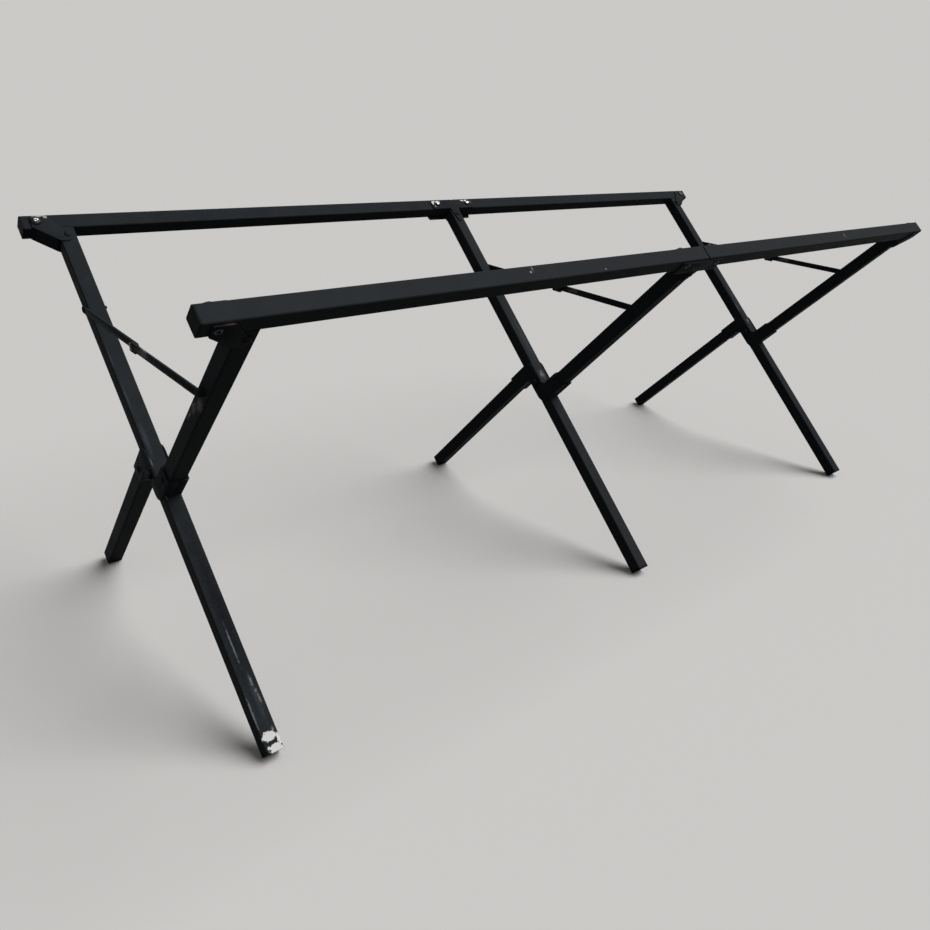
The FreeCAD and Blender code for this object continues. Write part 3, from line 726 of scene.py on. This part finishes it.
def on_front_rail_side(along, up):
    """On the outer face of the front rail."""
    return on_rail(FRONT_RAIL, -FRONT_INNER, FRONT_UP, along, up)


def bolt_places(side):
    """Places of a frame's bracket bolts along X, in millimetres."""
    rows = [[point.x for point in points] for points in islands(side + "_bracket_bolts")]
    return [(min(row) + max(row)) / 2 / MM for row in rows]


# Marks on each piece: kind, place and half-lengths in millimetres along the piece's own axes.
# The bolts' sockets carry a painted highlight, a bright ring for their glint, apart from the rear right one.
SOCKET_GLINT = (4, 9, 4)
MARKS = {
    "rear_leg_left": [
        Mark("white", on_rear_leg("left", -1, -402.5), (12, 6, 7)),
        Mark("white", on_rear_leg("left", 10, -410), (3, 6, 9)),
        Mark("white", on_rear_leg("left", 2, -418), (11, 6, 4.5)),
        # Painted shade: the leg's inner face darkens towards its foot.
        Mark("painted_shade", on_rear_leg("left", 2, -215), (19, 8, 215)),
        # Painted sheen on rubbed paint, low on the leg and in a line up its upper part.
        Mark("rub_and_sheen", on_rear_leg("left", 3, -350), (6, 4, 60)),
        Mark("rub_and_sheen", on_rear_leg("left", -10, 183), (2.5, 4, 26)),
        Mark("rub_and_sheen", on_rear_leg("left", -9, 120), (3, 4, 34)),
        Mark("rub_and_sheen", on_rear_leg("left", -6, 50), (5, 4, 45)),
        Mark("streak", on_rear_leg("left", -1.5, -272), (1.8, 4, 38)),
        Mark("streak", on_rear_leg("left", 4.2, -327), (2.8, 4, 14)),
        Mark("streak", on_rear_leg("left", 5.5, -341), (3.2, 3, 4)),
        Mark("streak", on_rear_leg("left", 6.5, -353), (2.2, 3, 12)),
        Mark("streak", on_rear_leg("left", -10.5, -368), (2.2, 4, 36)),
        Mark("streak", on_rear_leg("left", 7, -396), (3, 3, 6)),
        # Painted highlight: the glint of the hub cheek's top edge beside the scissor bolt.
        Mark("streak", on_rear_leg("left", -11, 12), (1.8, 3, 14)),
        Mark("streak", on_rear_leg("left", -10, -44), (2, 3, 6)),
    ],
    "rear_foot_left": [
        Mark("white", on_rear_leg("left", 2, -422), (11, 6, 6)),
    ],
    "front_upper_leg_left": [
        Mark("scuff", on_front_leg_side("left", 3, 256), (4, 11, 18)),
        Mark("scuff", on_front_leg_side("left", -4, 236), (4, 9, 18)),
        Mark("scuff", on_front_leg_side("left", -6, 216), (4, 3.5, 13)),
        Mark("chip", on_front_leg_side("left", -5.5, 217), (4, 1.6, 3)),
        Mark("chip", on_front_leg_side("left", -6.5, 239), (4, 1.4, 3)),
        Mark("rub_and_sheen", on_front_leg_side("left", 1, 225), (4, 12, 50)),
    ],
    "front_rail_left": [
        Mark("chip", on_front_rail(-384, 2), (2, 2, 3)),
        Mark("streak", on_front_rail(-379, 6), (2.5, 7, 3)),
        Mark("chip", on_front_rail(-241, -7.5), (1.6, 1.6, 3)),
        # Bare edge lines tinted by a painted reflection of a warm floor.
        Mark("worn_warm_reflection", on_front_rail_side(-805, 10), (10, 4, 1.5)),
        Mark("worn_warm_reflection", on_front_rail_side(-804, 7), (1.4, 4, 4)),
    ],
    "front_rail_right": [
        # Painted sheen on rubbed paint along the top.
        Mark("rub_and_sheen", on_front_rail(234, 0), (2.5, 10, 3)),
        Mark("streak", on_front_rail(484, 0), (2.5, 8, 3)),
    ],
    "rear_leg_middle": [
        # Painted sheen on rubbed paint.
        Mark("rub_and_sheen", on_rear_leg("middle", 3, 90), (8, 4, 90)),
        Mark("streak", on_rear_leg("middle", 0, 9), (8, 4, 13)),
        Mark("chip", on_rear_leg("middle", 12, 39), (1.8, 3, 6)),
    ],
    "rear_leg_right": [
        # Painted sheen on rubbed paint.
        Mark("rub_and_sheen", on_rear_leg("right", 2, 90), (7, 4, 80)),
        Mark("streak", on_rear_leg("right", 2, 24), (5, 4, 9)),
        Mark("streak", on_rear_leg("right", -9, 70), (1.6, 4, 22)),
    ],
    "rear_middle_plate_upper": [
        Mark("white", on_rear_rail(-46, 6), (11, 5, 2.4)),
        Mark("white", on_rear_rail(-51.5, 2.5), (3, 5, 5)),
        Mark("chip", on_rear_rail(-48, -5), (2, 5, 5)),
        Mark("white", on_rear_rail(31, 6), (6, 5, 2.2)),
        Mark("scuff", on_rear_rail(50, 2), (5, 5, 4)),
    ],
    "rear_end_bracket_left": [
        Mark("chip", on_rear_rail(-802, 7), (4, 5, 4)),
        Mark("chip", on_rear_rail(-813, 8), (9, 5, 2)),
    ],
    "rear_rail_left": [
        Mark("chip", on_rear_rail(-808, 11.5), (12, 4, 2)),
    ],
    "front_end_bracket_left": [
        # A bare edge line tinted by a painted reflection of a warm floor.
        Mark("worn_warm_reflection", on_front_rail_side(-806, 8), (9, 6, 1.2)),
    ],
    "rear_bracket_bolts": [
        Mark("white", on_rear_rail(-42, 3.5), (8, 9, 2.8)),
        Mark("white", on_rear_rail(36, 3.5), (5, 9, 2.8)),
        *[Mark("painted_glint", on_rear_rail(along, 0), SOCKET_GLINT) for along in bolt_places("rear")[:-1]],
    ],
    "front_bracket_bolts": [
        *[Mark("painted_glint", on_front_rail_inner(along, 0), SOCKET_GLINT) for along in bolt_places("front")],
    ],
}

# Marks on the front arm of each stay: kind, place along Y from the knee, and half-lengths
STAY_MARKS = (
    ("scuff", -42 * MM, (6, 22, 9)),
    # A rubbed band fading out ahead of the scuff, in the lighter tone that also paints a sheen.
    ("rub_and_sheen", -68 * MM, (6, 45, 9)),
)

RAIL_ENDINGS = ("_rail_left", "_rail_right")
LEG_ENDINGS = ("_leg_left", "_leg_middle", "_leg_right")
# Tubes with heavier dust, which is partly painted light that makes them lighter.
DUSTY_PAINTED_LIGHT_TUBES = ("front_rail_left", "front_rail_right", "rear_leg_middle")


def own_axes(node):
    """A piece's axes: from its middle, turned with the frame that it belongs to."""
    return Axes(middle(node), REAR_TURN if node.startswith("rear") else FRONT_TURN)


def dress_tubes():
    """Paint for the rails and legs, each with its own axes along the tube."""
    for name, node in frame["nodes"].items():
        if name.endswith(RAIL_ENDINGS + LEG_ENDINGS):
            along = "x" if name.endswith(RAIL_ENDINGS) else "z"
            dust_and_light = HEAVY_DUST_AND_PAINTED_LIGHT if name in DUSTY_PAINTED_LIGHT_TUBES else LIGHT_DUST
            dress(node, paint(name + "_paint", own_axes(name), along, MARKS.get(name, ()), dust_and_light=dust_and_light))


def dress_sheets():
    """Softened and painted brackets, plates and hub shells."""
    names = [name for name in frame["nodes"] if "_end_bracket_" in name or "_middle_plate_" in name]
    names += [name for name in frame["nodes"] if name.endswith(("_outer", "_inner"))]
    for name in names:
        along = "z" if name.startswith("hub_") else "x"
        material = paint(name + "_paint", own_axes(name), along, MARKS.get(name, ()), tube=False)
        body = "rear_frame" if name.startswith("rear") else "front_frame"
        stand_for(name, softened(name), body, material)


def dress_stays():
    """Softened stay arms, the front ones scuffed ahead of the knee, and the two halves of the knee rivets."""
    head = headed_shank(KNEE_HEAD_RADIUS, KNEE_HEAD_HEIGHT)
    tail = headed_shank(KNEE_TAIL_RADIUS, KNEE_TAIL_HEIGHT)
    for word, side in STAY_SIDES.items():
        knee = middle("knee_rivet_" + word)
        front_marks = [Mark(kind, knee + Vector((0, ahead, 0)), size) for kind, ahead, size in STAY_MARKS]
        for end, marks in (("rear", ()), ("front", front_marks)):
            name = "stay_" + end + "_arm_" + word
            axes = Axes(middle(name), LEVEL)
            material = paint(name + "_paint", axes, "y", marks, tube=False, chip_level=STAY_CHIP_LEVEL)
            stand_for(name, softened(name), "stay_" + end + "_" + word, material)
        dark = steel("knee_steel_" + word, Axes(knee, LEVEL), BLACK_STEEL, BLACK_STEEL_WORN, KNEE_ROUGHNESS)
        turned("knee_rivet_" + word, [SIDE * -side], head, "stay_front_" + word, "zinc_steel", dark)
        turned("knee_tail_" + word, [SIDE * side], tail, "stay_rear_" + word, "zinc_steel", dark)


def dress_fasteners():
    """Bolts, nuts, rivets and pins, turned in place of their plain solids, and the steel of the bushes."""
    plain = Axes(Vector((0, 0, 0)), LEVEL)
    sooty = steel("sooty_nut_steel", plain, SOOTY_STEEL, BLACK_STEEL, NUT_ROUGHNESS)
    coated = paint("painted_rivets", plain, "x", tube=False)
    pin_axes = [SIDE * -side for side in STAY_SIDES.values()]
    for side, inner in (("rear", REAR_INNER), ("front", FRONT_INNER)):
        body = side + "_frame"
        bolts = side + "_bracket_bolts"
        dark = steel(
            bolts + "_steel", own_axes(bolts), BLACK_STEEL, BLACK_STEEL_WORN, BOLT_ROUGHNESS, MARKS[bolts]
        )
        turned(bolts, [-inner], dome_bolt, body, "zinc_steel", dark)
        turned(side + "_bracket_nuts", [-inner], sleeve_nut, body, "zinc_steel", sooty)
        turned(side + "_leg_rivets", [-inner], button_rivet(LEG_RIVET_RADIUS), body, "zinc_steel", coated)
        turned(side + "_stay_pins", pin_axes, stay_pin, body, "zinc_steel", coated)
    turned("hub_rivets", [SIDE], button_rivet(HUB_RIVET_RADIUS), "front_frame", "zinc_steel", coated)
    turned("hub_bolts", [SIDE], hex_bolt, "front_frame", "zinc_steel", coated)
    turned("hub_nuts", [SIDE], hex_nut, "front_frame", "zinc_steel", coated)
    dress(frame["nodes"]["hub_bushes"], steel("bush_steel", plain, STEEL, STEEL_DULL, BUSH_ROUGHNESS))


def dress_plugs():
    """Plastic for the feet and the plugs of the rails."""
    for name, node in frame["nodes"].items():
        if "_foot_" in name or name.endswith("_rail_plugs"):
            dress(node, plastic(name + "_plastic", own_axes(name), MARKS.get(name, ())))


def shown_rays(nodes, links):
    """One for the rays that show the stage: seen straight, in a reflection or through glass."""
    path = nodes.new("ShaderNodeLightPath")
    shown = path.outputs["Is Camera Ray"]
    for ray in ("Is Glossy Ray", "Is Transmission Ray"):
        either = nodes.new("ShaderNodeMath")
        either.operation = "MAXIMUM"
        links.new(shown, either.inputs[0])
        links.new(path.outputs[ray], either.inputs[1])
        shown = either.outputs["Value"]
    return shown


def set_floor():
    """A pale floor that runs out of sight, and that throws little light up."""
    mesh = bpy.data.meshes.new("floor")
    form = bmesh.new()
    bmesh.ops.create_circle(form, cap_ends=True, segments=FLOOR_STEPS, radius=FLOOR_RADIUS)
    form.to_mesh(mesh)
    form.free()
    floor = bpy.data.objects.new("floor", mesh)
    bpy.context.scene.collection.objects.link(floor)
    tree = Tree("pale_floor")
    tone = tree.mix(shown_rays(tree.nodes, tree.links), FLOOR_BOUNCE, FLOOR_TONE)
    tree.surface(Base_Color=tone, Roughness=1.0, Specular_IOR_Level=0.0)
    dress(floor, tree.material)


def set_world():
    """Even light from all round, seen as a background in the floor's own shade."""
    world = bpy.data.worlds.new("soft_studio")
    world.use_nodes = True
    nodes, links = world.node_tree.nodes, world.node_tree.links
    light = nodes["Background"]
    light.inputs["Color"].default_value = colour(1.0, 1.0, 1.0)
    light.inputs["Strength"].default_value = EVEN_LIGHT
    seen = nodes.new("ShaderNodeBackground")
    lit = EVEN_LIGHT + SUN_STRENGTH * SUN_DIRECTION.normalized().z / math.pi
    seen.inputs["Color"].default_value = colour(*[part * lit for part in FLOOR_TONE[:3]])
    choose = nodes.new("ShaderNodeMixShader")
    links.new(shown_rays(nodes, links), choose.inputs["Fac"])
    links.new(light.outputs["Background"], choose.inputs[1])
    links.new(seen.outputs["Background"], choose.inputs[2])
    links.new(choose.outputs["Shader"], nodes["World Output"].inputs["Surface"])
    bpy.context.scene.world = world


def set_lamp():
    """One wide, soft light from above on the right, whose sheen lies on the faces that look up."""
    lamp = bpy.data.lights.new("soft_sun", "SUN")
    lamp.energy = SUN_STRENGTH
    lamp.angle = SUN_WIDTH
    holder = bpy.data.objects.new("soft_sun", lamp)
    holder.rotation_euler = (-SUN_DIRECTION).to_track_quat("-Z", "Y").to_euler()
    bpy.context.scene.collection.objects.link(holder)


def set_camera():
    """The photograph's camera: yaw from +Y towards +X, pitch down, roll about the view."""
    flat = math.cos(CAMERA_PITCH)
    forward = Vector((math.sin(CAMERA_YAW) * flat, math.cos(CAMERA_YAW) * flat, -math.sin(CAMERA_PITCH)))
    level = Vector((math.cos(CAMERA_YAW), -math.sin(CAMERA_YAW), 0))
    down = forward.cross(level)
    right = level * math.cos(CAMERA_ROLL) + down * math.sin(CAMERA_ROLL)
    up = level * math.sin(CAMERA_ROLL) - down * math.cos(CAMERA_ROLL)
    lens = bpy.data.cameras.new("photo_camera")
    lens.lens = CAMERA_LENS
    lens.sensor_width = CAMERA_SENSOR
    camera = bpy.data.objects.new("photo_camera", lens)
    turn = Matrix((right, up, -forward)).transposed()
    camera.matrix_world = Matrix.Translation(CAMERA_PLACE) @ turn.to_4x4()
    bpy.context.scene.collection.objects.link(camera)
    bpy.context.scene.camera = camera


dress_tubes()
dress_sheets()
dress_stays()
dress_fasteners()
dress_plugs()
set_floor()
set_world()
set_lamp()
set_camera()
bpy.context.scene.view_settings.view_transform = "Standard"
